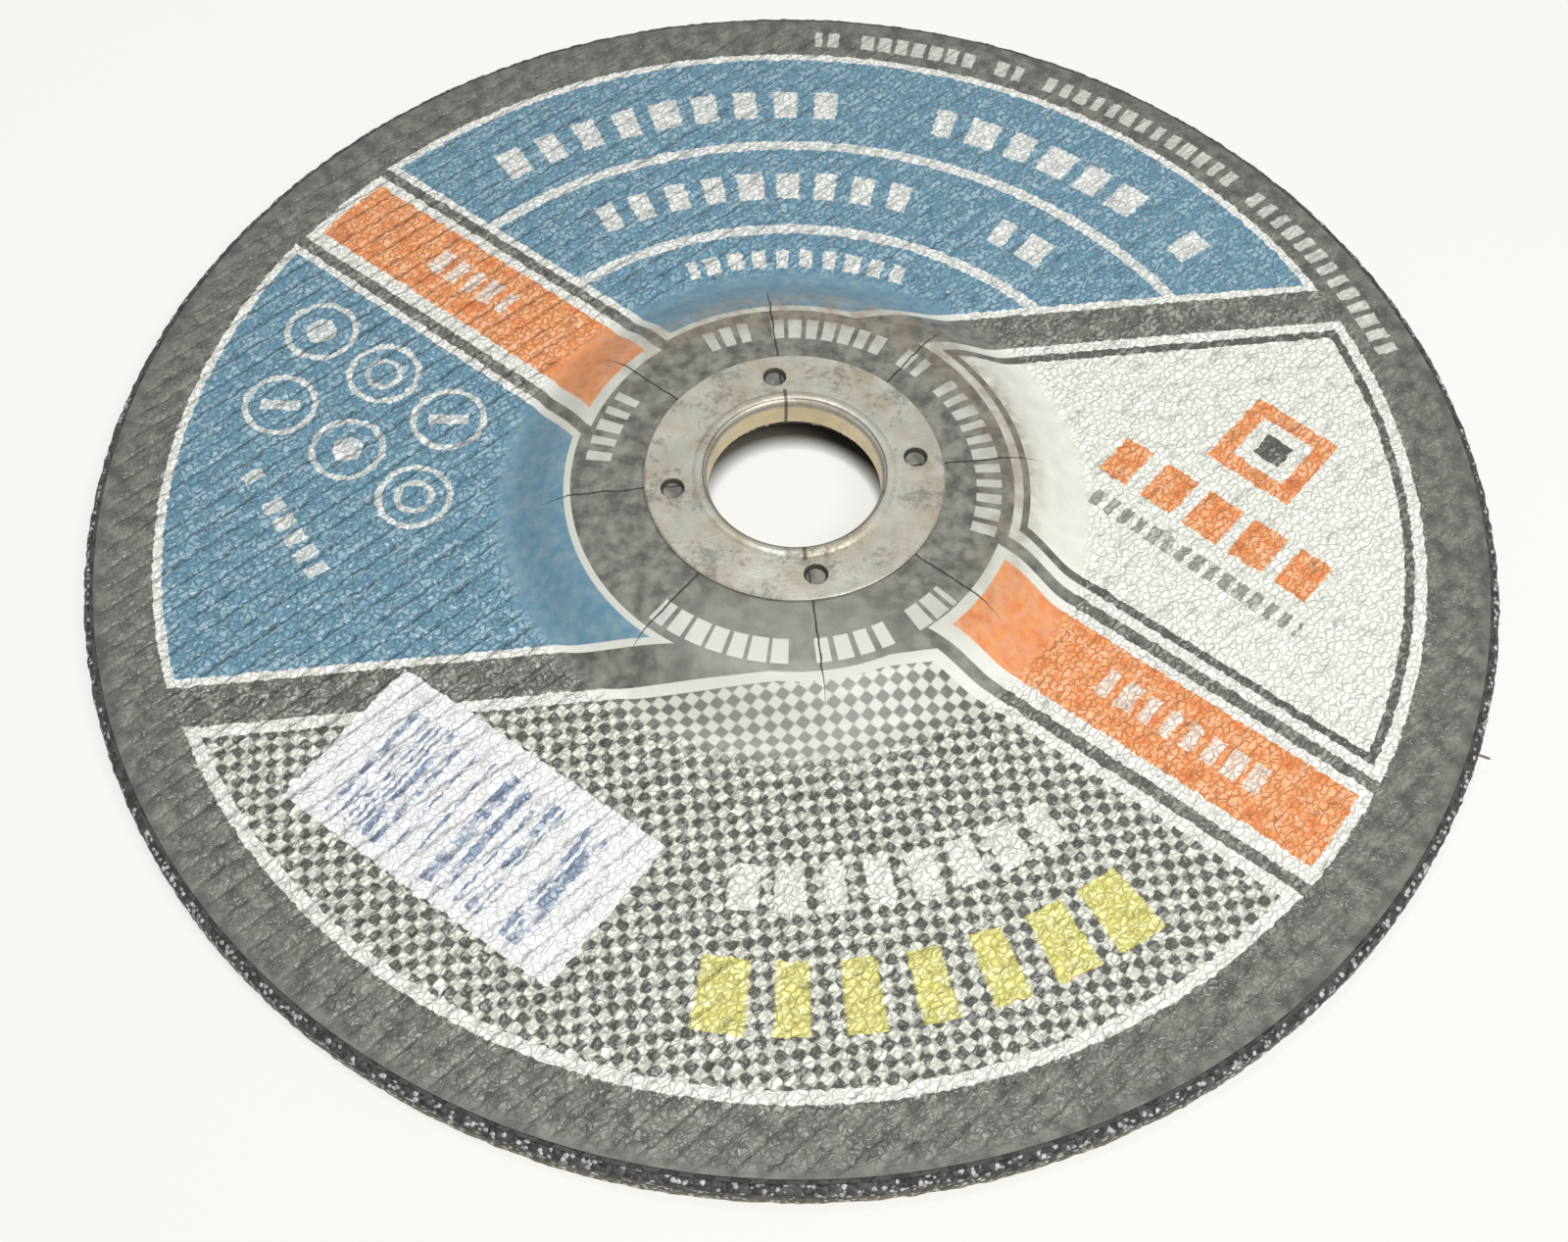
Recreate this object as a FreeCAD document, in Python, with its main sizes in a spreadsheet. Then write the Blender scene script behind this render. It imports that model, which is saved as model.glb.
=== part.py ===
import FreeCAD, Part
import math
import os
import Sketcher

# A depressed-centre grinding disc, lying on its grinding face with the raised hub up.
# The origin is on the axis of the bore, in the plane of the grinding face, with +Z up.
# Every dished surface is one curve, the underside, carried up by what lies below that surface,
# so that the body, the glass cloth, the label and the steel ring seat on each other face to face.

# Driving sizes in millimetres and degrees: name, value, what it is.
SIZES = [
    ("outer_radius", 90.0, "edge of the disc, 180 mm across"),
    ("disc_thickness", 4.1, "abrasive body, the same at the rim and at the hub"),
    ("dish_depth", 4.6, "height of the recess under the hub"),
    ("recess_radius", 28.2, "corner where the ceiling of the recess meets its slope"),
    ("ramp_angle", 35.0, "slope between hub and rim, from the flat"),
    ("shoulder_radius", 4.5, "bend at the hub end of the slope, on the underside"),
    ("foot_radius", 4.8, "bend at the rim end of the slope, on the top of the body"),
    ("rim_top_round", 0.9, "upper corner of the rim"),
    ("rim_bottom_round", 0.6, "lower corner of the rim"),
    ("cloth_thickness", 0.2, "glass cloth moulded on the body"),
    ("cloth_radius", 89.0, "edge of the cloth"),
    ("label_thickness", 0.2, "printed paper"),
    ("label_radius", 88.5, "edge of the label"),
    ("hole_gap", 0.8, "from the steel tube to the edge of the hole in paper and cloth"),
    ("smooth_radius", 39.0, "inside it the paper is smooth, outside it the threads show through"),
    ("edge_band_radius", 86.3, "outside it the paper is smooth again"),
    ("thread_pitch", 2.6, "from one ridge of the cloth's threads to the next"),
    ("thread_relief", 0.08, "valley between two ridges, pressed into the paper"),
    ("thread_direction", 43.0, "angle that the ridges run at"),
    ("slit_count", 8, "slits that let the flat paper take the shape of the hub"),
    ("slit_width", 0.5, "slit at its inner end, from which it runs to a point"),
    ("slit_start_radius", 14.0, "inner end of a slit, hidden under the steel flange"),
    ("slit_end_radius", 32.0, "outer end of a slit"),
    ("slit_direction", 8.0, "angle of the first slit"),
    ("bore_radius", 11.115, "standard bore, 22.23 mm across"),
    ("sheet_thickness", 0.7, "pressed steel of the ring"),
    ("flange_radius", 19.1, "outer edge of the ring's flange"),
    ("flange_edge_bevel", 0.2, "upper corner of the flange"),
    ("tube_depth", 3.9, "from the top of the flange to the end of the tube"),
    ("bead_radius", 1.1, "section of the bead rolled round the bore"),
    ("bead_height", 0.3, "crest of the bead over the flange"),
    ("anchor_count", 4, "hollow spikes pierced down through the flange"),
    ("anchor_circle_radius", 15.6, "circle that the spikes stand on"),
    ("anchor_direction", 11.0, "angle of the first spike"),
    ("anchor_length", 1.4, "spike below the flange"),
    ("anchor_root_radius", 1.9, "outside of a spike where it leaves the flange"),
    ("anchor_tip_radius", 1.25, "outside of a spike at its tip"),
    ("anchor_mouth_radius", 1.55, "round mouth of a spike, in the top of the flange"),
    ("anchor_mouth_depth", 0.9, "from the mouth down to the throat"),
    ("anchor_throat_radius", 1.1, "throat, where the mouth ends in the square hole"),
    ("anchor_hole_radius", 1.0, "from the middle of the square hole to its corner"),
]

# Heights and radii that several pieces share, as expressions on the sheet.
UNDERSIDE = "0"
BODY_TOP = "Sizes.disc_thickness"
CLOTH_TOP = "(Sizes.disc_thickness + Sizes.cloth_thickness)"
LABEL_TOP = f"({CLOTH_TOP} + Sizes.label_thickness)"
FLANGE_SEAT = f"(Sizes.dish_depth + {LABEL_TOP})"
FLANGE_TOP = f"({FLANGE_SEAT} + Sizes.sheet_thickness)"
TUBE_RADIUS = "(Sizes.bore_radius + Sizes.sheet_thickness)"
SHEET_HOLE = f"({TUBE_RADIUS} + Sizes.hole_gap)"
START, END, CENTRE = range(1, 4)
ORIGIN = (-1, 1)
X_AXIS, Y_AXIS = range(-1, -3, -1)

doc = FreeCAD.newDocument("GrindingDisc")
sheet = doc.addObject("Spreadsheet::Sheet", "Sizes")
for row, (size_name, size_value, meaning) in enumerate(SIZES, start=1):
    sheet.set(f"A{row}", size_name)
    sheet.set(f"B{row}", str(size_value))
    sheet.set(f"C{row}", meaning)
    sheet.setAlias(f"B{row}", size_name)
doc.recompute()


def number(expression):
    """The value of an expression on the sheet."""
    return FreeCAD.Units.Quantity(sheet.evalExpression(expression)).Value


def new_body(name):
    """An empty body, whose label names its file."""
    body = doc.addObject("PartDesign::Body", name)
    body.Label = name
    body.Placement = FreeCAD.Placement()
    return body


def origin_feature(body, role):
    """One of the planes or axes of the body's own origin."""
    return next(feature for feature in body.Origin.OriginFeatures if feature.Role == role)


def place(feature, body, radius="0", direction="0", height="0", role="XY_Plane"):
    """Attach a sketch or a primitive to the body's plane, turned and carried out along its own X.

    An upright plane turns about the disc's axis, which is the plane's own Y.
    """
    turned_about = FreeCAD.Vector(0, 0, 1) if role == "XY_Plane" else FreeCAD.Vector(0, 1, 0)
    offset = {
        "AttachmentOffset.Base.x": f"{radius} * cos({direction})",
        "AttachmentOffset.Base.y": f"{radius} * sin({direction})",
        "AttachmentOffset.Base.z": height,
        "AttachmentOffset.Rotation.Angle": direction,
    }
    feature.AttachmentSupport = [(origin_feature(body, role), "")]
    feature.MapMode = "FlatFace"
    feature.AttachmentOffset = FreeCAD.Placement(
        FreeCAD.Vector(*(number(text) for text in list(offset.values())[:3])),
        FreeCAD.Rotation(turned_about, number(direction)),
    )
    for path, text in offset.items():
        if text != "0":
            feature.setExpression(path, text)


def dimension(sketch, label, expression, kind, *where):
    """A named driving constraint, bound to the sheet."""
    value = number(expression)
    if kind == "Angle":
        value = math.radians(value)
    index = sketch.addConstraint(Sketcher.Constraint(kind, *where, value))
    sketch.renameConstraint(index, label)
    sketch.setExpression(f"Constraints.{label}", expression)


def line(sketch, start, end):
    """A line between two points of the sketch's plane."""
    return sketch.addGeometry(Part.LineSegment(FreeCAD.Vector(*start, 0), FreeCAD.Vector(*end, 0)))


def arc(sketch, centre, radius, first, last):
    """An arc that turns anticlockwise between two angles in degrees."""
    circle = Part.Circle(FreeCAD.Vector(*centre, 0), FreeCAD.Vector(0, 0, 1), radius)
    return sketch.addGeometry(Part.ArcOfCircle(circle, math.radians(first), math.radians(last)))


def join(sketch, kind, *pairs):
    """Join ends of lines and arcs, with a corner (Coincident) or smoothly (Tangent)."""
    for first, first_end, second, second_end in pairs:
        sketch.addConstraint(Sketcher.Constraint(kind, first, first_end, second, second_end))


def dish_curve(sketch, label, lift, inner, outer):
    """The dished line of one surface, flat hub, slope and flat rim, at a height above the underside.

    Both bends keep their centres whatever the height, which keeps every surface the same distance
    from the next along the slope as on the flats. Gives the first and the last line.
    """
    angle = number("Sizes.ramp_angle")
    sine, cosine = math.sin(math.radians(angle)), math.cos(math.radians(angle))
    above = number(lift)
    shoulder_x = "Sizes.recess_radius - Sizes.shoulder_radius * tan(Sizes.ramp_angle / 2)"
    shoulder = (number(shoulder_x), number("Sizes.dish_depth - Sizes.shoulder_radius"))
    shoulder_size = f"Sizes.shoulder_radius + {lift}"
    foot_size = f"Sizes.foot_radius + Sizes.disc_thickness - {lift}"
    bends = number("Sizes.shoulder_radius + Sizes.foot_radius + Sizes.disc_thickness")
    slope = number("Sizes.dish_depth") / sine - bends * math.tan(math.radians(angle / 2))
    foot = (shoulder[0] + bends * sine + slope * cosine, number("Sizes.disc_thickness + Sizes.foot_radius"))
    top, bottom = number(shoulder_size), number(foot_size)
    hub_height = number("Sizes.dish_depth") + above

    hub = line(sketch, (inner, hub_height), (shoulder[0], hub_height))
    shoulder_arc = arc(sketch, shoulder, top, 90 - angle, 90)
    ramp = line(
        sketch,
        (shoulder[0] + top * sine, shoulder[1] + top * cosine),
        (foot[0] - bottom * sine, foot[1] - bottom * cosine),
    )
    foot_arc = arc(sketch, foot, bottom, 270 - angle, 270)
    rim = line(sketch, (foot[0], above), (outer, above))

    join(
        sketch,
        "Tangent",
        (hub, END, shoulder_arc, END),
        (shoulder_arc, START, ramp, START),
        (ramp, END, foot_arc, START),
        (foot_arc, END, rim, START),
    )
    sketch.addConstraint(Sketcher.Constraint("Horizontal", hub))
    sketch.addConstraint(Sketcher.Constraint("Horizontal", rim))
    dimension(sketch, f"{label}_hub_height", f"Sizes.dish_depth + {lift}", "DistanceY", *ORIGIN, hub, START)
    if lift == UNDERSIDE:
        sketch.addConstraint(Sketcher.Constraint("PointOnObject", rim, END, X_AXIS))
    else:
        dimension(sketch, f"{label}_rim_height", lift, "DistanceY", *ORIGIN, rim, END)
    dimension(sketch, f"{label}_shoulder_x", shoulder_x, "DistanceX", *ORIGIN, shoulder_arc, CENTRE)
    dimension(sketch, f"{label}_shoulder_radius", shoulder_size, "Radius", shoulder_arc)
    dimension(sketch, f"{label}_foot_radius", foot_size, "Radius", foot_arc)
    dimension(sketch, f"{label}_ramp_angle", "-Sizes.ramp_angle", "Angle", ramp)
    return hub, rim


def dished_sheet(body, lower, upper, inner, outer):
    """A dished disc with a hole: the space between two surfaces, turned about the axis."""
    sketch = body.newObject("Sketcher::SketchObject", "dish_profile")
    place(sketch, body, role="XZ_Plane")
    inner_x, outer_x = number(inner), number(outer)
    low_hub, low_rim = dish_curve(sketch, "lower", lower, inner_x, outer_x)
    high_hub, high_rim = dish_curve(sketch, "upper", upper, inner_x, outer_x)
    hub_height = number("Sizes.dish_depth")
    hole = line(
        sketch, (inner_x, hub_height + number(lower)), (inner_x, hub_height + number(upper))
    )
    edge = line(sketch, (outer_x, number(lower)), (outer_x, number(upper)))
    join(
        sketch,
        "Coincident",
        (hole, START, low_hub, START),
        (hole, END, high_hub, START),
        (edge, START, low_rim, END),
        (edge, END, high_rim, END),
    )
    sketch.addConstraint(Sketcher.Constraint("Vertical", hole))
    sketch.addConstraint(Sketcher.Constraint("Vertical", edge))
    dimension(sketch, "hole_radius", inner, "DistanceX", *ORIGIN, hole, START)
    dimension(sketch, "edge_radius", outer, "DistanceX", *ORIGIN, edge, START)
    return turn(body, sketch)


def flat_ring(body, name, lower, upper, inner, outer):
    """A flat ring between two heights and two radii, joined to what the body already has."""
    sketch = body.newObject("Sketcher::SketchObject", name)
    place(sketch, body, role="XZ_Plane")
    left, right, low, high = number(inner), number(outer), number(lower), number(upper)
    corners = [(left, low), (right, low), (right, high), (left, high)]
    sides = [line(sketch, corners[k], corners[(k + 1) % 4]) for k in range(4)]
    join(sketch, "Coincident", *((sides[k], END, sides[(k + 1) % 4], START) for k in range(4)))
    for k, side in enumerate(sides):
        sketch.addConstraint(Sketcher.Constraint("Vertical" if k % 2 else "Horizontal", side))
    dimension(sketch, "inner_radius", inner, "DistanceX", *ORIGIN, sides[0], START)
    dimension(sketch, "outer_radius", outer, "DistanceX", *ORIGIN, sides[0], END)
    dimension(sketch, "lower_height", lower, "DistanceY", *ORIGIN, sides[0], START)
    dimension(sketch, "upper_height", upper, "DistanceY", *ORIGIN, sides[2], START)
    return turn(body, sketch)


def press_threads(body, name, crest):
    """Press a ribbed die down on the paper: ridges side by side, each with a crest at this height.

    A ridge is two flanks and a flat crest, half the pitch wide. The die's outline is drawn across
    the ridges and runs along them right through the body.
    """
    sketch = body.newObject("Sketcher::SketchObject", name)
    place(sketch, body, direction="Sizes.thread_direction + 90", role="XZ_Plane")
    pitch, relief, top = number("Sizes.thread_pitch"), number("Sizes.thread_relief"), number(crest)
    threads = 2 * math.ceil(number("Sizes.outer_radius") / pitch) + 1
    first = -threads / 2 * pitch
    back = number(f"{crest} + 2 * Sizes.thread_relief")
    steps = [(0, top - relief), (0.25, top), (0.75, top)]
    outline = [(first + (k + share) * pitch, height) for k in range(threads) for share, height in steps]
    outline += [(-first, top - relief), (-first, back), (first, back)]
    sides = [line(sketch, outline[k], outline[(k + 1) % len(outline)]) for k in range(len(outline))]
    join(
        sketch,
        "Coincident",
        *((sides[k], END, sides[(k + 1) % len(sides)], START) for k in range(len(sides))),
    )
    die = body.newObject("PartDesign::Pocket", f"{name}_pressed")
    die.Profile = (sketch, [""])
    die.Midplane = True
    die.Type = "ThroughAll"
    doc.recompute()


def turn(body, sketch):
    """A full turn of a profile about the bore's axis."""
    revolution = body.newObject("PartDesign::Revolution", f"{sketch.Name}_turned")
    revolution.Profile = (sketch, [""])
    revolution.ReferenceAxis = (sketch, ["V_Axis"])
    revolution.Angle = 360
    doc.recompute()
    return revolution


def ease_corner(body, kind, name, radius, height, size):
    """Round (Fillet) or bevel (Chamfer) the circular corner that has this radius and stands at this height."""
    base = body.Tip
    corners = [
        f"Edge{index}"
        for index, edge in enumerate(base.Shape.Edges, start=1)
        if isinstance(edge.Curve, Part.Circle)
        and abs(edge.Curve.Radius - number(radius)) < 1e-4
        and abs(edge.Curve.Center.z - number(height)) < 1e-4
    ]
    eased = body.newObject(f"PartDesign::{kind}", name)
    eased.Base = (base, corners)
    eased.setExpression("Radius" if kind == "Fillet" else "Size", size)
    doc.recompute()


def repeat_round_axis(body, name, features, count):
    """Repeat features evenly round the bore."""
    pattern = body.newObject("PartDesign::PolarPattern", name)
    pattern.Originals = features
    pattern.Axis = (origin_feature(body, "Z_Axis"), [""])
    pattern.Angle = 360
    pattern.setExpression("Occurrences", count)
    body.Tip = pattern
    doc.recompute()


def anchor_cone(body, kind, name):
    """The outside of one hollow spike: added to the ring, taken away from what it is pressed into."""
    cone = body.newObject(f"PartDesign::{kind}Cone", name)
    place(
        cone,
        body,
        radius="Sizes.anchor_circle_radius",
        direction="Sizes.anchor_direction",
        height=f"{FLANGE_SEAT} - Sizes.anchor_length",
    )
    cone.setExpression("Radius1", "Sizes.anchor_tip_radius")
    cone.setExpression("Radius2", "Sizes.anchor_root_radius")
    cone.setExpression("Height", "Sizes.anchor_length")
    doc.recompute()
    return cone


def make_abrasive_body():
    """The moulded body: a dished disc, the tube's seat through its hub, and a seat for each spike."""
    body = new_body("abrasive_body")
    dished_sheet(body, UNDERSIDE, BODY_TOP, TUBE_RADIUS, "Sizes.outer_radius")
    ease_corner(body, "Fillet", "rim_top", "Sizes.outer_radius", BODY_TOP, "Sizes.rim_top_round")
    ease_corner(body, "Fillet", "rim_bottom", "Sizes.outer_radius", UNDERSIDE, "Sizes.rim_bottom_round")
    seat = anchor_cone(body, "Subtractive", "anchor_seat")
    repeat_round_axis(body, "anchor_seats", [seat], "Sizes.anchor_count")
    return body


def make_glass_cloth():
    """The woven glass sheet moulded on the body."""
    body = new_body("glass_cloth")
    dished_sheet(body, BODY_TOP, CLOTH_TOP, SHEET_HOLE, "Sizes.cloth_radius")
    passage = anchor_cone(body, "Subtractive", "anchor_passage")
    repeat_round_axis(body, "anchor_passages", [passage], "Sizes.anchor_count")
    return body


def make_paper_label():
    """The printed sheet over the cloth: the threads show through its flat, slits let it bend to the hub."""
    body = new_body("paper_label")
    blank_top = f"({LABEL_TOP} + Sizes.thread_relief)"
    flat_ring(body, "threaded_band", CLOTH_TOP, blank_top, "Sizes.smooth_radius", "Sizes.edge_band_radius")
    press_threads(body, "thread_ridges", LABEL_TOP)
    flat_ring(body, "edge_band", CLOTH_TOP, LABEL_TOP, "Sizes.edge_band_radius", "Sizes.label_radius")
    dished_sheet(body, CLOTH_TOP, LABEL_TOP, SHEET_HOLE, "Sizes.smooth_radius")

    sketch = body.newObject("Sketcher::SketchObject", "slit_outline")
    place(sketch, body, direction="Sizes.slit_direction", height=FLANGE_SEAT)
    near, far = number("Sizes.slit_start_radius"), number("Sizes.slit_end_radius")
    half = number("Sizes.slit_width") / 2
    mouth = line(sketch, (near, -half), (near, half))
    left = line(sketch, (near, half), (far, 0))
    right = line(sketch, (far, 0), (near, -half))
    join(
        sketch,
        "Coincident",
        (mouth, END, left, START),
        (left, END, right, START),
        (right, END, mouth, START),
    )
    sketch.addConstraint(Sketcher.Constraint("Symmetric", mouth, START, mouth, END, X_AXIS))
    sketch.addConstraint(Sketcher.Constraint("PointOnObject", left, END, X_AXIS))
    dimension(sketch, "start_radius", "Sizes.slit_start_radius", "DistanceX", *ORIGIN, mouth, END)
    dimension(sketch, "end_radius", "Sizes.slit_end_radius", "DistanceX", *ORIGIN, left, END)
    dimension(sketch, "width", "Sizes.slit_width", "DistanceY", mouth, START, mouth, END)

    slit = body.newObject("PartDesign::Pocket", "slit")
    slit.Profile = (sketch, [""])
    slit.Type = "ThroughAll"
    doc.recompute()
    repeat_round_axis(body, "slits", [slit], "Sizes.slit_count")
    passage = anchor_cone(body, "Subtractive", "anchor_passage")
    repeat_round_axis(body, "anchor_passages", [passage], "Sizes.anchor_count")
    return body


def make_bore_ring():
    """The pressed steel ring: flange, bead and tube in one sheet, with spikes pierced out of it."""
    body = new_body("bore_ring")
    sketch = body.newObject("Sketcher::SketchObject", "ring_profile")
    place(sketch, body, role="XZ_Plane")
    bore, tube = number("Sizes.bore_radius"), number(TUBE_RADIUS)
    flange, seat, top = number("Sizes.flange_radius"), number(FLANGE_SEAT), number(FLANGE_TOP)
    tube_end = top - number("Sizes.tube_depth")
    bead = number("Sizes.bead_radius")
    crest = f"{FLANGE_TOP} + Sizes.bead_height - Sizes.bead_radius"
    bead_centre = (bore + bead, number(crest))
    run_out = math.degrees(math.asin((top - bead_centre[1]) / bead))
    bead_end = bead_centre[0] + bead * math.cos(math.radians(run_out))

    edge = line(sketch, (flange, seat), (flange, top))
    upper = line(sketch, (flange, top), (bead_end, top))
    roll = arc(sketch, bead_centre, bead, run_out, 180)
    inside = line(sketch, (bore, bead_centre[1]), (bore, tube_end))
    lip = line(sketch, (bore, tube_end), (tube, tube_end))
    outside = line(sketch, (tube, tube_end), (tube, seat))
    lower = line(sketch, (tube, seat), (flange, seat))
    join(
        sketch,
        "Coincident",
        (edge, END, upper, START),
        (upper, END, roll, START),
        (inside, END, lip, START),
        (lip, END, outside, START),
        (outside, END, lower, START),
        (lower, END, edge, START),
    )
    join(sketch, "Tangent", (roll, END, inside, START))
    for flat in (upper, lip, lower):
        sketch.addConstraint(Sketcher.Constraint("Horizontal", flat))
    for upright in (edge, inside, outside):
        sketch.addConstraint(Sketcher.Constraint("Vertical", upright))
    dimension(sketch, "flange_radius", "Sizes.flange_radius", "DistanceX", *ORIGIN, edge, START)
    dimension(sketch, "seat_height", FLANGE_SEAT, "DistanceY", *ORIGIN, edge, START)
    dimension(sketch, "sheet_thickness", "Sizes.sheet_thickness", "DistanceY", edge, START, edge, END)
    dimension(sketch, "bore_radius", "Sizes.bore_radius", "DistanceX", *ORIGIN, inside, END)
    dimension(sketch, "wall_thickness", "Sizes.sheet_thickness", "DistanceX", lip, START, lip, END)
    dimension(sketch, "tube_depth", "Sizes.tube_depth", "DistanceY", inside, END, upper, END)
    dimension(sketch, "bead_radius", "Sizes.bead_radius", "Radius", roll)
    dimension(sketch, "bead_centre_height", crest, "DistanceY", *ORIGIN, roll, CENTRE)
    turn(body, sketch)
    ease_corner(body, "Chamfer", "flange_edge", "Sizes.flange_radius", FLANGE_TOP, "Sizes.flange_edge_bevel")

    spike = anchor_cone(body, "Additive", "anchor_spike")
    mouth = body.newObject("PartDesign::SubtractiveCone", "anchor_mouth")
    place(
        mouth,
        body,
        radius="Sizes.anchor_circle_radius",
        direction="Sizes.anchor_direction",
        height=f"{FLANGE_TOP} - Sizes.anchor_mouth_depth",
    )
    mouth.setExpression("Radius1", "Sizes.anchor_throat_radius")
    mouth.setExpression("Radius2", "Sizes.anchor_mouth_radius")
    mouth.setExpression("Height", "Sizes.anchor_mouth_depth")
    doc.recompute()

    outline = body.newObject("Sketcher::SketchObject", "anchor_hole_outline")
    place(
        outline,
        body,
        radius="Sizes.anchor_circle_radius",
        direction="Sizes.anchor_direction",
        height=FLANGE_TOP,
    )
    reach = number("Sizes.anchor_hole_radius")
    corners = [(reach, 0), (0, reach), (-reach, 0), (0, -reach)]
    sides = [line(outline, corners[k], corners[(k + 1) % 4]) for k in range(4)]
    join(outline, "Coincident", *((sides[k], END, sides[(k + 1) % 4], START) for k in range(4)))
    for k, side in enumerate(sides):
        axis = Y_AXIS if k % 2 else X_AXIS
        outline.addConstraint(Sketcher.Constraint("PointOnObject", side, START, axis))
    for side in sides[1:3]:
        outline.addConstraint(Sketcher.Constraint("Equal", sides[0], side))
    dimension(outline, "corner_x", "Sizes.anchor_hole_radius", "DistanceX", *ORIGIN, sides[0], START)
    dimension(outline, "corner_y", "Sizes.anchor_hole_radius", "DistanceY", *ORIGIN, sides[1], START)
    hole = body.newObject("PartDesign::Pocket", "anchor_hole")
    hole.Profile = (outline, [""])
    hole.Type = "ThroughAll"
    doc.recompute()
    repeat_round_axis(body, "anchors", [spike, mouth, hole], "Sizes.anchor_count")
    return body


bodies = [make_abrasive_body(), make_glass_cloth(), make_paper_label(), make_bore_ring()]
doc.recompute()

failed = [thing.Label for thing in doc.Objects if {"Invalid", "Error"} & set(thing.State)]
if failed:
    raise RuntimeError(f"features that failed: {failed}")
for body in bodies:
    if body.Shape.isNull() or not body.Shape.isValid():
        raise RuntimeError(f"{body.Label} has no valid shape")

os.makedirs("parts", exist_ok=True)
for body in bodies:
    body.Shape.exportStep(f"parts/{body.Label}.step")
    box = body.Shape.BoundBox
    print(
        f"{body.Label}: {len(body.Shape.Solids)} solid, {body.Shape.Volume:.2f} mm3,"
        f" z {box.ZMin:.3f} to {box.ZMax:.3f}, {box.XLength:.2f} mm across"
    )
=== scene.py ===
"""Dress a depressed centre grinding disc: printed paper, glass cloth, abrasive grain and steel ring."""

import math

import bmesh
import bpy
import numpy as np
from bpy.props import FloatProperty, FloatVectorProperty, IntProperty, PointerProperty
from mathutils import Matrix, Vector


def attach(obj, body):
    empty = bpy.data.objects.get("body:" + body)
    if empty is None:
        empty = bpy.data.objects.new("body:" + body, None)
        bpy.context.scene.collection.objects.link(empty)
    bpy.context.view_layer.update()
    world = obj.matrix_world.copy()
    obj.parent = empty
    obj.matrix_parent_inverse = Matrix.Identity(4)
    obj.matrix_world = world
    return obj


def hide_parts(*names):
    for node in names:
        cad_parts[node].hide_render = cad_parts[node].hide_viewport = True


bl_info = {
    "name": "Grinding Disc Dresser",
    "version": (1, 0, 0),
    "blender": (4, 5, 0),
    "location": "3D View > Sidebar > Grinding Disc",
    "description": "Builds the printed, woven and grained surfaces of a dished grinding disc",
    "category": "Add Mesh",
}

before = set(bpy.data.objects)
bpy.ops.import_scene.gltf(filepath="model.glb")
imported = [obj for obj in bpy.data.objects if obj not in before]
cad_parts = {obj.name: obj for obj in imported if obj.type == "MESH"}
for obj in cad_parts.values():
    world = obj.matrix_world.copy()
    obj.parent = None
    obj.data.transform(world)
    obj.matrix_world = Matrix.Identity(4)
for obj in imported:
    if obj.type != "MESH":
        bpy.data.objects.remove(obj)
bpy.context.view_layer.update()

MM = 0.001
TURN = 2.0 * math.pi

# The dish, as the solids have it.
DISC_RADIUS = 90.0 * MM
THICKNESS = 4.1 * MM
DISH_DEPTH = 4.6 * MM
RAMP_ANGLE = math.radians(35.0)
SHOULDER_RADIUS = 4.5 * MM
SHOULDER_AT = 26.781 * MM
FOOT_RADIUS = 4.8 * MM
FOOT_AT = 37.576 * MM
BODY_BORE = 11.815 * MM
SHEET_BORE = 12.615 * MM
LABEL_RADIUS = 88.5 * MM
LABEL_BOTTOM = 4.3 * MM
LABEL_TOP = 4.5 * MM
RIM_TOP_ROUND = 0.9 * MM
RIM_BOTTOM_ROUND = 0.6 * MM
SLIT_COUNT = 8
SLIT_ANGLE = math.radians(8.0)
SLIT_END = 33.0 * MM

# The threads of the cloth, in millimetres and degrees, and the size of the grains.
THREAD_DEGREES = 43.0
THREAD_PITCH = 2.6
WEFT_PITCH = 2.8
GRAIN_SCALE = 1600.0

# The table of random heights, and how far its rows are shifted each time that it repeats.
TABLE = 256
TABLE_SHIFT = 37

# The print, in millimetres on the paper: the rim and the collar of its fields, how much faster a field
# narrows towards the collar, and the directions across the strips and across the bars.
FIELD_RIM = 81.0
COLLAR = 28.1
COLLAR_SLOPE = 1.3
STRIP_X, STRIP_Y = 0.595, 0.804
BAR_X, BAR_Y = 0.1426, 0.9898
CHECK_SIDE = 1.39
STRIPE_WIDTH = 0.42

# Rows of plain blocks along arcs: two radii, two angles, pitch in degrees, seed, share.
DARK_ROWS = (
    (82.9, 85.9, 18.0, 89.0, 1.75, 41.0),
    (23.3, 26.5, -20.0, 120.0, 5.4, 57.0),
    (23.3, 26.5, 150.0, 180.0, 5.6, 63.0),
    (23.6, 27.0, -134.0, -42.0, 5.6, 71.0, 0.7),
)
UPPER_ROWS = (
    (67.8, 73.2, 37.0, 128.0, 4.8, 11.0),
    (51.8, 56.8, 50.0, 121.0, 5.6, 17.0),
    (38.9, 42.1, 68.0, 112.0, 4.6, 23.0),
)
CHECK_ROW = (52.3, 58.2, -97.0, -52.5, 5.4, 31.0)
YELLOW_ROW = (64.0, 73.0, -98.5, -51.0, 6.6, 37.0)

# Rows of plain blocks along lines: middle x and y, angle, length, height, pitch, seed, share.
LEFT_ROW = (-64.5, -6.3, -54.0, 20.0, 2.8, 2.9, 83.0)
ORANGE_ROW = (54.0, -1.5, -39.0, 34.0, 6.6, 6.8, 91.0, 0.7)
SMALL_ROW = (50.0, -7.6, -39.0, 34.0, 2.6, 2.2, 97.0)
STRIP_LEFT_ROW = (-44.7, 34.5, 143.5, 15.0, 4.0, 3.0, 101.0)
STRIP_RIGHT_ROW = (47.5, -33.0, 143.5, 24.0, 4.0, 3.0, 107.0)

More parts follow.
